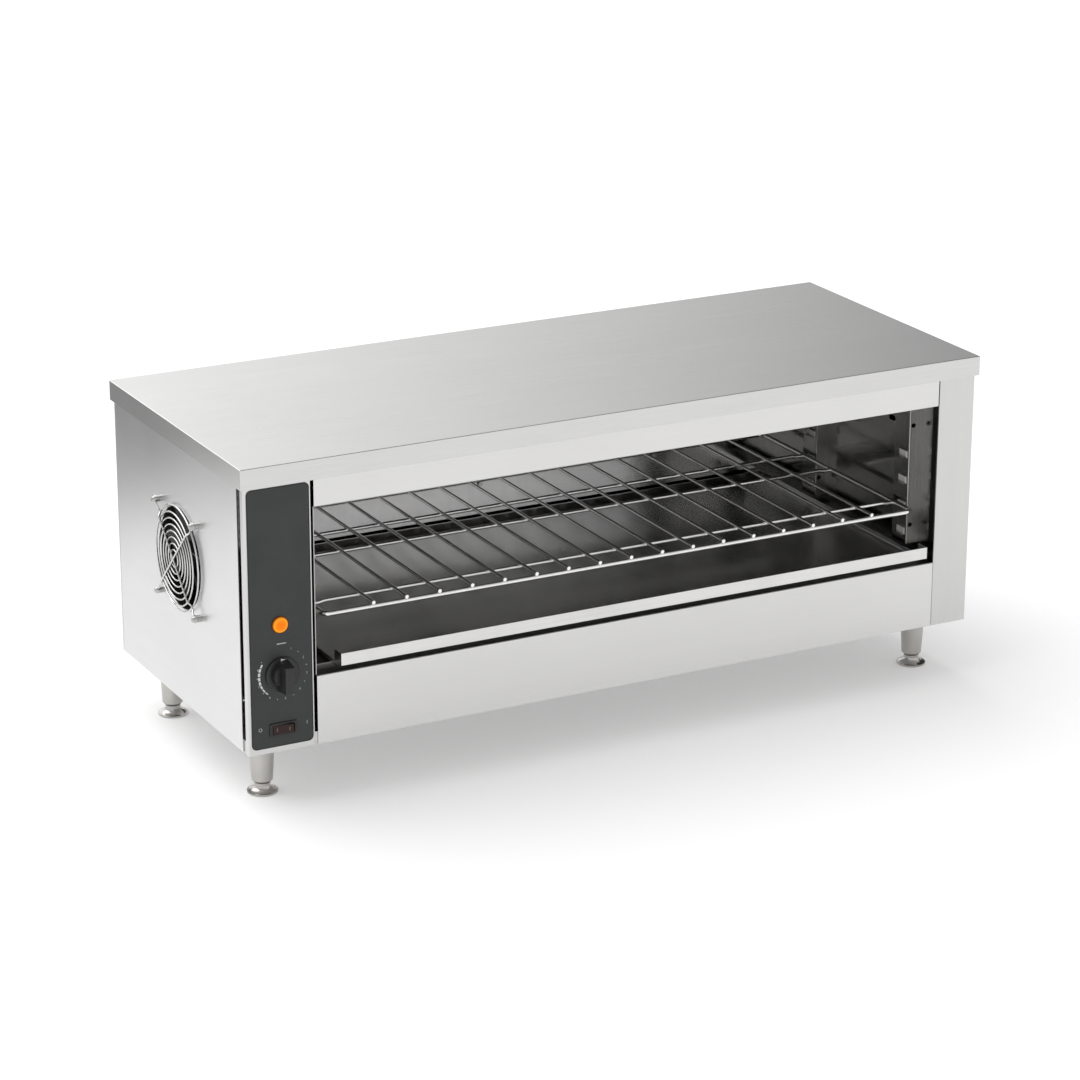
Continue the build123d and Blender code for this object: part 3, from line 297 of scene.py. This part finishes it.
acrossX, acrossY, acrossZ = 0, 1, 2
sheet = {
    "skin": 1.2 * mm,                # thickness of the outer sheets
    "fadeEnd": 3.0 * mm,             # behind a sheet's front, where its tone has changed
    # painted shade: the returns behind a sheet's front are darkened almost to black
    "gapShadeTone": 0.05,
    # painted shade: the lid's front rim is a little darker than its top
    "rimShadeTone": 0.84,
    "earInset": 5.1 * mm,            # a bracket's ear, from the free end of its shelf
}
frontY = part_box("upper_fascia")[0].y
# painted shade in the gaps behind the front sheets
behindFront = (frontY + sheet["skin"], frontY + sheet["fadeEnd"], 1.0, sheet["gapShadeTone"])
# painted shade: the lid's front rim is darker than its top
lidRim = (lidLow.y + sheet["skin"], lidLow.y + sheet["fadeEnd"], sheet["rimShadeTone"], 1.0)
earPlaces = (
    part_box("rack_post_front_left")[1].x - sheet["earInset"],
    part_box("rack_post_front_right")[0].x + sheet["earInset"],
)
# the outer sheets are all one brushed steel: their base tones differ from part to part as painted light and
# shade
paint = {
    "steelLid": brushedSteel(
        "steelLid", acrossX, (0.75, 0.745, 0.74), 0.25, contrast=0.10, paintedShade=lidRim,
    ),
    "steelPlain": brushedSteel("steelPlain", acrossX, (0.66, 0.655, 0.65), 0.34, contrast=0.03),
    "steelFascia": brushedSteel(
        "steelFascia", acrossX, (0.69, 0.685, 0.68), 0.34, contrast=0.03, paintedShade=behindFront,
    ),
    "steelLower": brushedSteel(
        "steelLower", acrossX, (0.70, 0.695, 0.69), 0.34, contrast=0.03, paintedShade=behindFront,
    ),
    "steelPost": brushedSteel(
        "steelPost", acrossZ, (0.62, 0.617, 0.612), 0.34, contrast=0.03, paintedShade=behindFront,
    ),
    "steelColumn": brushedSteel("steelColumn", acrossZ, (0.66, 0.657, 0.652), 0.34, contrast=0.03),
    "steelSide": brushedSteel("steelSide", acrossY, (0.73, 0.73, 0.73), 0.32, contrast=0.04),
    # the cavity walls, hangers and rack posts are one heated steel: their darker tones, deepest on the
    # ceiling and floor, are painted shade, and so is the back wall's fall to a darker right end
    "cavityBack": heatedSteel("cavityBack", acrossZ, (0.66, 0.66, 0.665), 0.10, (-0.05, 0.22, 1.0, 0.72)),
    "cavityLeft": heatedSteel("cavityLeft", acrossZ, (0.44, 0.435, 0.43), 0.14),
    "cavityRight": heatedSteel("cavityRight", acrossZ, (0.36, 0.355, 0.345), 0.16),
    "cavityTop": heatedSteel("cavityTop", acrossX, (0.18, 0.175, 0.17), 0.30),
    "cavityFloor": heatedSteel("cavityFloor", acrossX, (0.22, 0.215, 0.21), 0.30),
    "postSteel": heatedSteel("postSteel", acrossZ, (0.40, 0.395, 0.385), 0.24, streaks=1.0, bright=earPlaces),
    "traySteel": heatedSteel("traySteel", acrossX, (0.72, 0.715, 0.705), 0.20),
    "wireChrome": polishedMetal("wireChrome", (0.86, 0.855, 0.845), 0.10),
    "guardWire": polishedMetal("guardWire", (0.66, 0.655, 0.65), 0.07),
    "legChrome": polishedMetal("legChrome", (0.50, 0.487, 0.465), 0.16),
    "zinc": polishedMetal("zinc", (0.46, 0.46, 0.45), 0.14),
    "elementSheath": polishedMetal("elementSheath", (0.13, 0.12, 0.11), 0.45),
    "overlayFilm": mouldedPlastic("overlayFilm", (0.022, 0.025, 0.025), 0.42, grain=1.2, depth=0.08),
    "knobBlack": mouldedPlastic("knobBlack", (0.012, 0.012, 0.012), 0.34),
    "switchBlack": mouldedPlastic("switchBlack", (0.010, 0.010, 0.010), 0.30),
    "fanBlack": mouldedPlastic("fanBlack", (0.010, 0.010, 0.010), 0.38),
    "bodyPlastic": mouldedPlastic("bodyPlastic", (0.06, 0.06, 0.058), 0.5),
    "ceramic": mouldedPlastic("ceramic", (0.62, 0.60, 0.54), 0.7),
    "wool": mouldedPlastic("wool", (0.52, 0.46, 0.30), 0.95, grain=0.3, depth=0.8),
    "inkWhite": printedInk("inkWhite", (0.86, 0.86, 0.84)),
    "inkGrey": printedInk("inkGrey", (0.58, 0.59, 0.59)),
    "inkBlack": printedInk("inkBlack", (0.004, 0.004, 0.004)),
}

# the lens is deeper in its middle, with a light ring, a dark rim and fine ribs
lensLow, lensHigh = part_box("pilot_lamp_lens")
lens = {
    "rings": (                       # from the middle to the rim
        (0.0, (0.85, 0.17, 0.004)),
        (0.5, (0.95, 0.22, 0.006)),
        (0.82, (1.0, 0.36, 0.02)),
        (1.0, (0.12, 0.02, 0.002)),
    ),
    "ribs": 4200.0,                  # radians for each metre across
}
amber = Nodes("lensAmber")
fromMiddle = amber.add("ShaderNodeVectorMath", operation="DISTANCE")
amber.join(amber.place, fromMiddle.inputs[0])
fromMiddle.inputs[1].default_value = ((lensLow.x + lensHigh.x) / 2, lensLow.y, (lensLow.z + lensHigh.z) / 2)
outwards = amber.math("DIVIDE", fromMiddle.outputs["Value"], (lensHigh.x - lensLow.x) / 2)
glass = amber.ramp(outwards, lens["rings"])
ribs = amber.math("SINE", amber.math("MULTIPLY", amber.axis("X"), lens["ribs"]))
amber.set(
    Base_Color=glass,
    Roughness=0.22,
    Specular_IOR_Level=0.12,
    Emission_Color=glass,
    Emission_Strength=0.40,
)
amber.bump(ribs, 0.25, 0.0002)
paint["lensAmber"] = amber.material

# the rocker has a pale mark moulded into each half
rockerLow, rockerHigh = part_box("switch_rocker")
rockerMiddle = (rockerLow + rockerHigh) / 2
rockerMark = {"aside": 6.8 * mm, "halfWidth": 0.5 * mm, "halfHeight": 1.9 * mm}
rocker = Nodes("rockerRed")
dust = rocker.noise((0.05, 0.05, 0.05), detail=4)
worn = rocker.ramp(dust, ((0.35, (0.022, 0.006, 0.005)), (0.75, (0.034, 0.009, 0.007))))
across = rocker.math("ABSOLUTE", rocker.math("SUBTRACT", rocker.axis("X"), rockerMiddle.x))
inMark = rocker.math(
    "MULTIPLY",
    rocker.math("COMPARE", across, rockerMark["aside"], rockerMark["halfWidth"]),
    rocker.math("COMPARE", rocker.axis("Z"), rockerMiddle.z, rockerMark["halfHeight"]),
)
rocker.set(Base_Color=rocker.mix(inMark, worn, (0.20, 0.14, 0.13)), Roughness=0.28, Specular_IOR_Level=0.3)
rocker.bump(dust, 0.08, 0.0001)
paint["rockerRed"] = rocker.material

finishes = {
    "steelLid": ["top_cover"],
    "steelPlain": ["back_panel", "base_pan"],
    "steelFascia": ["upper_fascia"],
    "steelLower": ["lower_front_panel"],
    "steelPost": ["right_front_post"],
    "steelColumn": ["control_column"],
    "steelSide": ["left_side_panel", "right_side_panel"],
    "cavityBack": ["cavity_back_wall"],
    "cavityLeft": ["cavity_left_wall"],
    "cavityRight": ["cavity_right_wall"],
    "cavityTop": ["cavity_ceiling", "element_hangers"],
    "cavityFloor": ["cavity_floor"],
    "postSteel": [f"rack_post_{row}_{hand}" for row in ("front", "rear") for hand in ("left", "right")],
    "traySteel": ["crumb_tray"],
    "wireChrome": ["wire_rack"],
    "guardWire": ["fan_guard"],
    "legChrome": [
        f"{part}_{row}_{hand}"
        for part in ("leg", "foot") for row in ("front", "rear") for hand in ("left", "right")
    ],
    "zinc": [
        "rack_post_screws", "back_wall_stays", "rear_screws", "guard_standoffs", "guard_screws",
        "fan_nuts", "leg_nuts", "thermostat_shaft",
    ],
    "elementSheath": ["heating_element_front", "heating_element_rear"],
    "overlayFilm": ["control_overlay"],
    "knobBlack": ["control_knob"],
    "switchBlack": ["rocker_switch_body"],
    "rockerRed": ["switch_rocker"],
    "fanBlack": ["fan_frame", "fan_rotor"],
    "bodyPlastic": ["pilot_lamp_body", "thermostat_body", "cord_gland", "gland_nut"],
    "lensAmber": ["pilot_lamp_lens"],
    "ceramic": ["terminal_block"],
    "wool": ["top_insulation"],
}
for finish, nodes in finishes.items():
    for node in nodes:
        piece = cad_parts[node]
        piece.data.materials.clear()
        piece.data.materials.append(paint[finish])
print("materials on", sum(len(nodes) for nodes in finishes.values()), "pieces")

# printing on the control column

overlayLow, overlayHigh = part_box("control_overlay")
knobLow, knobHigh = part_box("control_knob")
dialCentre = Vector(((knobLow.x + knobHigh.x) / 2, overlayLow.y, (knobLow.z + knobHigh.z) / 2))
printing = {
    "inkThickness": 0.06 * mm,
    "arcRadius": 26.4 * mm,
    "arcStart": 219,               # degrees clockwise from the top
    "arcEnd": 304,
    "arcBars": 8,
    "arcFill": 0.78,               # how much of its part of the arc a bar fills
    "arcWidths": (1.2, 1.6, 2.0, 2.3, 2.6, 2.6, 2.3, 1.9),
    "scaleRadius": 28.6 * mm,
    "scaleStart": 22,
    "scaleStep": 18.9,
    "scaleMarks": 16,
    "digitHeight": 2.7 * mm,
    "dotRadius": 0.55 * mm,
    "dashLength": 10.5 * mm,
    "dashHeight": 1.2 * mm,
    "dashRise": 34.0 * mm,
    "offSide": -26.3 * mm,
    "onSide": 27.5 * mm,
    "switchMarkHeight": 4.2 * mm,
    "sizeOfLetters": 1.35,         # font size for each unit of a digit's height
    "switchMarkRise": 2.2 * mm,
    "edgeInset": 0.2 * mm,
    "edgeWidth": 1.0 * mm,
    "edgeCorner": 5.0 * mm,
}


def onOverlay(x, z, lift=0.0):
    return Vector((x, overlayLow.y - lift, z))


def around(centre, radius, degrees):
    # a place on the overlay at a clockwise angle from the top
    turn = math.radians(degrees)
    return onOverlay(centre.x + radius * math.sin(turn), centre.z + radius * math.cos(turn))


def printedPiece(vertices, faces, name, thickness=printing["inkThickness"]):
    # flat outlines on the overlay, given a thickness towards the front
    mesh = bpy.data.meshes.new(name)
    mesh.from_pydata(vertices, [], faces)
    piece = bpy.data.objects.new(name, mesh)
    bpy.context.scene.collection.objects.link(piece)
    makeActive(piece)
    bpy.ops.object.mode_set(mode="EDIT")
    bpy.ops.mesh.select_all(action="SELECT")
    bpy.ops.mesh.extrude_region_move(TRANSFORM_OT_translate={"value": (0, -thickness, 0)})
    bpy.ops.mesh.select_all(action="SELECT")
    bpy.ops.mesh.normals_make_consistent(inside=False)
    bpy.ops.object.mode_set(mode="OBJECT")
    return piece


def arcBar(vertices, faces, centre, radius, width, start, end, steps=8):
    first = len(vertices)
    for step in range(steps + 1):
        angle = start + (end - start) * step / steps
        vertices.append(around(centre, radius - width / 2, angle))
        vertices.append(around(centre, radius + width / 2, angle))
    for step in range(steps):
        corner = first + 2 * step
        faces.append((corner, corner + 1, corner + 3, corner + 2))


def textOnOverlay(words, x, z, height, name):
    bpy.ops.object.text_add(location=onOverlay(x, z, printing["inkThickness"]), rotation=(math.pi / 2, 0, 0))
    label = bpy.context.object
    label.name = name
    label.data.body = words
    label.data.size = height * printing["sizeOfLetters"]
    label.data.align_x = "CENTER"
    label.data.align_y = "CENTER"
    label.data.extrude = printing["inkThickness"] / 2
    label.data.resolution_u = 3
    makeActive(label)
    bpy.ops.object.convert(target="MESH")
    return placeInMesh(bpy.context.object)


# the bars of the power scale
vertices, faces = [], []
barAngle = (printing["arcEnd"] - printing["arcStart"]) / printing["arcBars"]
for bar in range(printing["arcBars"]):
    barStart = printing["arcStart"] + bar * barAngle
    barWidth = printing["arcWidths"][bar] * mm
    barEnd = barStart + barAngle * printing["arcFill"]
    arcBar(vertices, faces, dialCentre, printing["arcRadius"], barWidth, barStart, barEnd)
give(printedPiece(vertices, faces, "dial_bars"), paint["inkWhite"], "cabinet")

# dots and numbers around the dial
vertices, faces, digits = [], [], []
for mark in range(printing["scaleMarks"]):
    angle = printing["scaleStart"] + mark * printing["scaleStep"]
    spot = around(dialCentre, printing["scaleRadius"], angle)
    if mark % 2:
        arcBar(vertices, faces, spot, printing["dotRadius"] / 2, printing["dotRadius"], 0, 360, 12)
    else:
        digits.append(textOnOverlay(str(mark // 2 + 1), spot.x, spot.z, printing["digitHeight"], "digit"))
give(printedPiece(vertices, faces, "dial_dots"), paint["inkGrey"], "cabinet")
give(joinPieces(digits, "dial_numbers"), paint["inkGrey"], "cabinet")

# the dash over the dial, and the marks of the switch
dashZ = dialCentre.z + printing["dashRise"]
halfDash, halfDashHeight = printing["dashLength"] / 2, printing["dashHeight"] / 2
dashCorners = [
    onOverlay(dialCentre.x + halfDash * a, dashZ + halfDashHeight * b)
    for a, b in ((-1, -1), (1, -1), (1, 1), (-1, 1))
]
give(printedPiece(dashCorners, [(0, 1, 2, 3)], "dial_dash"), paint["inkGrey"], "cabinet")

bezelLow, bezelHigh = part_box("rocker_switch_body")
switchX, switchZ = (bezelLow.x + bezelHigh.x) / 2, (bezelLow.z + bezelHigh.z) / 2
marksZ = switchZ + printing["switchMarkRise"]
switchMarks = [
    textOnOverlay(letter, switchX + side, marksZ, printing["switchMarkHeight"], "mark")
    for letter, side in (("O", printing["offSide"]), ("I", printing["onSide"]))
]
give(joinPieces(switchMarks, "switch_marks"), paint["inkGrey"], "cabinet")

# the dark line along the overlay's edge
edgeRing = []
for inset in (printing["edgeInset"], printing["edgeInset"] + printing["edgeWidth"]):
    corner = printing["edgeCorner"] - inset + printing["edgeInset"]
    for sideX, sideZ, turn in ((1, 1, 0), (1, -1, 90), (-1, -1, 180), (-1, 1, 270)):
        cornerX = (overlayHigh.x - inset - corner) if sideX > 0 else (overlayLow.x + inset + corner)
        cornerZ = (overlayHigh.z - inset - corner) if sideZ > 0 else (overlayLow.z + inset + corner)
        for step in range(7):
            edgeRing.append(around(Vector((cornerX, 0, cornerZ)), corner, turn + step * 15))
ringCount = len(edgeRing) // 2
ringFaces = [
    (n, (n + 1) % ringCount, ringCount + (n + 1) % ringCount, ringCount + n)
    for n in range(ringCount)
]
give(printedPiece(edgeRing, ringFaces, "overlay_edge_line"), paint["inkBlack"], "cabinet")

# the white pointer lies on the knob's skirt and turns with it
pointer = {"near": 15.3 * mm, "far": 18.1 * mm, "left": -2.4 * mm, "right": 3.3 * mm, "thickness": 0.5 * mm}
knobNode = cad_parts["control_knob"]
pointerMiddle = dialCentre.z + (pointer["near"] + pointer["far"]) / 2
inFront = Vector((dialCentre.x, knobLow.y - 0.01, pointerMiddle))
found, skirt, facing, face = knobNode.ray_cast(inFront, Vector((0, 1, 0)))
skirtY = skirt.y + pointer["thickness"] / 2 if found else knobHigh.y
pointerCorners = [
    Vector((dialCentre.x + pointer["left"], skirtY, dialCentre.z + pointer["near"])),
    Vector((dialCentre.x + pointer["right"], skirtY, pointerMiddle)),
    Vector((dialCentre.x + pointer["left"], skirtY, dialCentre.z + pointer["far"])),
]
knobPointer = printedPiece(pointerCorners, [(0, 1, 2)], "knob_pointer", pointer["thickness"])
give(knobPointer, paint["inkWhite"], "control_knob")
print("printing on the control column")

# camera

cameraPlace = {
    "lens": 118.989,
    "from": (-1.81079, -3.40047, 1.52002),   # from the point on the floor under the lid's middle
    "yaw": 27.875,
    "pitch": 19.169,
    "roll": 0.155,
}
yaw, pitch, roll = (math.radians(cameraPlace[key]) for key in ("yaw", "pitch", "roll"))
ahead = Vector((math.sin(yaw) * math.cos(pitch), math.cos(yaw) * math.cos(pitch), -math.sin(pitch)))
level = Vector((math.cos(yaw), -math.sin(yaw), 0))
upward = level.cross(ahead)
rightward = math.cos(roll) * level + math.sin(roll) * upward
upward = -math.sin(roll) * level + math.cos(roll) * upward
turned = Matrix((rightward, upward, -ahead)).transposed().to_4x4()
bpy.ops.object.camera_add()
camera = bpy.context.object
cameraSpot = Vector((middle.x, middle.y, 0)) + Vector(cameraPlace["from"])
camera.matrix_world = Matrix.Translation(cameraSpot) @ turned
camera.data.lens = cameraPlace["lens"]
camera.data.sensor_width = 36
camera.data.clip_end = 60
bpy.context.scene.camera = camera

# floor, world and lamps

studio = {
    "floorSize": 40.0,
    "floorColour": (0.82, 0.82, 0.82),
    "floorGlow": 0.24,
    "tableBack": (0.62, 1.10),       # behind the object the pale table ends, which only metal shows
    "tableDark": 0.25,
    "roomLight": 0.60,
    "roomBright": 1.45,              # back left of the room, as metal shows it
    "roomDark": 0.05,                # back right of the room
    "roomFront": 0.92,
    "frontTurn": (70, 100, -60, -20),
    "topRise": (0.5, 0.8),           # sine of the rise where the room gets dim
    "roomTop": 0.35,
    "roomTurn": (14, 42),            # degrees to the right of straight back, from bright to dark
    "keyStrength": 1.9,
    "keyAngle": 70,
    "keyFrom": (-0.45, 0.45, 1.0),
}
bpy.ops.mesh.primitive_plane_add(size=studio["floorSize"], location=(middle.x, middle.y, 0))
floor = placeInMesh(bpy.context.object)
floor.name = "studio_floor"
floorPaint = Nodes("floorPaint")
floorPaint.set(Base_Color=studio["floorColour"], Roughness=0.9, Specular_IOR_Level=0.0)
rays = floorPaint.add("ShaderNodeLightPath")
floorPlace = floorPaint.add("ShaderNodeSeparateXYZ")
floorPaint.join(floorPaint.place, floorPlace.inputs[0])
tableEnd = floorPaint.add("ShaderNodeMapRange", interpolation_type="SMOOTHSTEP")
tableEnd.inputs["From Min"].default_value, tableEnd.inputs["From Max"].default_value = studio["tableBack"]
tableEnd.inputs["To Min"].default_value = 1.0
tableEnd.inputs["To Max"].default_value = studio["tableDark"]
floorPaint.join(floorPlace.outputs["Y"], tableEnd.inputs["Value"])
mirrored = floorPaint.add("ShaderNodeMix", data_type="FLOAT")
floorPaint.join(rays.outputs["Is Glossy Ray"], mirrored.inputs[0])
mirrored.inputs[2].default_value = 1.0
floorPaint.join(tableEnd.outputs["Result"], mirrored.inputs[3])
seen = floorPaint.add("ShaderNodeMath", operation="MAXIMUM")
floorPaint.join(rays.outputs["Is Camera Ray"], seen.inputs[0])
floorPaint.join(rays.outputs["Is Glossy Ray"], seen.inputs[1])
glow = floorPaint.add("ShaderNodeMath", operation="MULTIPLY")
floorPaint.join(seen.outputs[0], glow.inputs[0])
glow.inputs[1].default_value = studio["floorGlow"]
floorPaint.shader.inputs["Emission Color"].default_value = (1, 1, 1, 1)
floorPaint.join(glow.outputs[0], floorPaint.shader.inputs["Emission Strength"])
darkTable = floorPaint.add("ShaderNodeBsdfTransparent")
darkTable.inputs["Color"].default_value = (0, 0, 0, 1)
tableMix = floorPaint.add("ShaderNodeMixShader")
floorPaint.join(mirrored.outputs[0], tableMix.inputs[0])
floorPaint.join(darkTable.outputs[0], tableMix.inputs[1])
floorPaint.join(floorPaint.shader.outputs[0], tableMix.inputs[2])
floorPaint.join(tableMix.outputs[0], floorPaint.tree.nodes["Material Output"].inputs["Surface"])
floor.data.materials.append(floorPaint.material)

world = bpy.data.worlds.new("studioRoom")
bpy.context.scene.world = world
world.use_nodes = True
sky = world.node_tree
background = sky.nodes["Background"]


def skyNode(kind, inputs=(), **settings):
    node = sky.nodes.new(kind)
    for key, value in settings.items():
        setattr(node, key, value)
    for socket, value in inputs:
        if isinstance(value, bpy.types.NodeSocket):
            sky.links.new(value, node.inputs[socket])
        else:
            node.inputs[socket].default_value = value
    return node.outputs


rays = skyNode("ShaderNodeLightPath")
looking = skyNode("ShaderNodeSeparateXYZ", [(0, skyNode("ShaderNodeTexCoord")["Generated"])])
bearing = skyNode("ShaderNodeMath", [(0, looking["X"]), (1, looking["Y"])], operation="ARCTAN2")[0]
roomFrom, roomTo = (math.radians(angle) for angle in studio["roomTurn"])


def skySlope(source, start, end, first, last):
    limits = (("Value", source), ("From Min", start), ("From Max", end), ("To Min", first), ("To Max", last))
    return skyNode("ShaderNodeMapRange", limits)["Result"]


def skyMix(factor, first, second):
    return skyNode("ShaderNodeMix", [(0, factor), (2, first), (3, second)], data_type="FLOAT")[0]


# metal shows a room that is bright at the back left, dark at the back right, bright again
# on the far right, and dim overhead
backRight = skySlope(bearing, roomFrom, roomTo, studio["roomBright"], studio["roomDark"])
brightFrom, brightTo, leftFrom, leftTo = (math.radians(angle) for angle in studio["frontTurn"])
aside = skySlope(bearing, brightFrom, brightTo, 0.0, 1.0)
roomRight = skyMix(aside, backRight, studio["roomFront"])
left = skySlope(bearing, leftFrom, leftTo, 1.0, 0.0)
sides = skyMix(left, roomRight, studio["roomFront"])
overhead = skySlope(looking["Z"], *studio["topRise"], 1.0, studio["roomTop"])
room = skyNode("ShaderNodeMath", [(0, sides), (1, overhead)], operation="MULTIPLY")[0]
mirrorLight = skyMix(rays["Is Glossy Ray"], studio["roomLight"], room)
clearRays = [(0, rays["Is Camera Ray"]), (1, rays["Is Transmission Ray"])]
clear = skyNode("ShaderNodeMath", clearRays, operation="MAXIMUM")[0]
strength = skyMix(clear, mirrorLight, 1.0)
sky.links.new(strength, background.inputs["Strength"])
background.inputs["Color"].default_value = (1, 1, 1, 1)

bpy.ops.object.light_add(type="SUN")
key = bpy.context.object
key.name = "key_lamp"
key.data.energy = studio["keyStrength"]
key.data.angle = math.radians(studio["keyAngle"])
key.rotation_euler = Vector(studio["keyFrom"]).to_track_quat("Z", "Y").to_euler()
bpy.context.scene.view_settings.view_transform = "Standard"
print("camera, floor and lamps")

print("done")
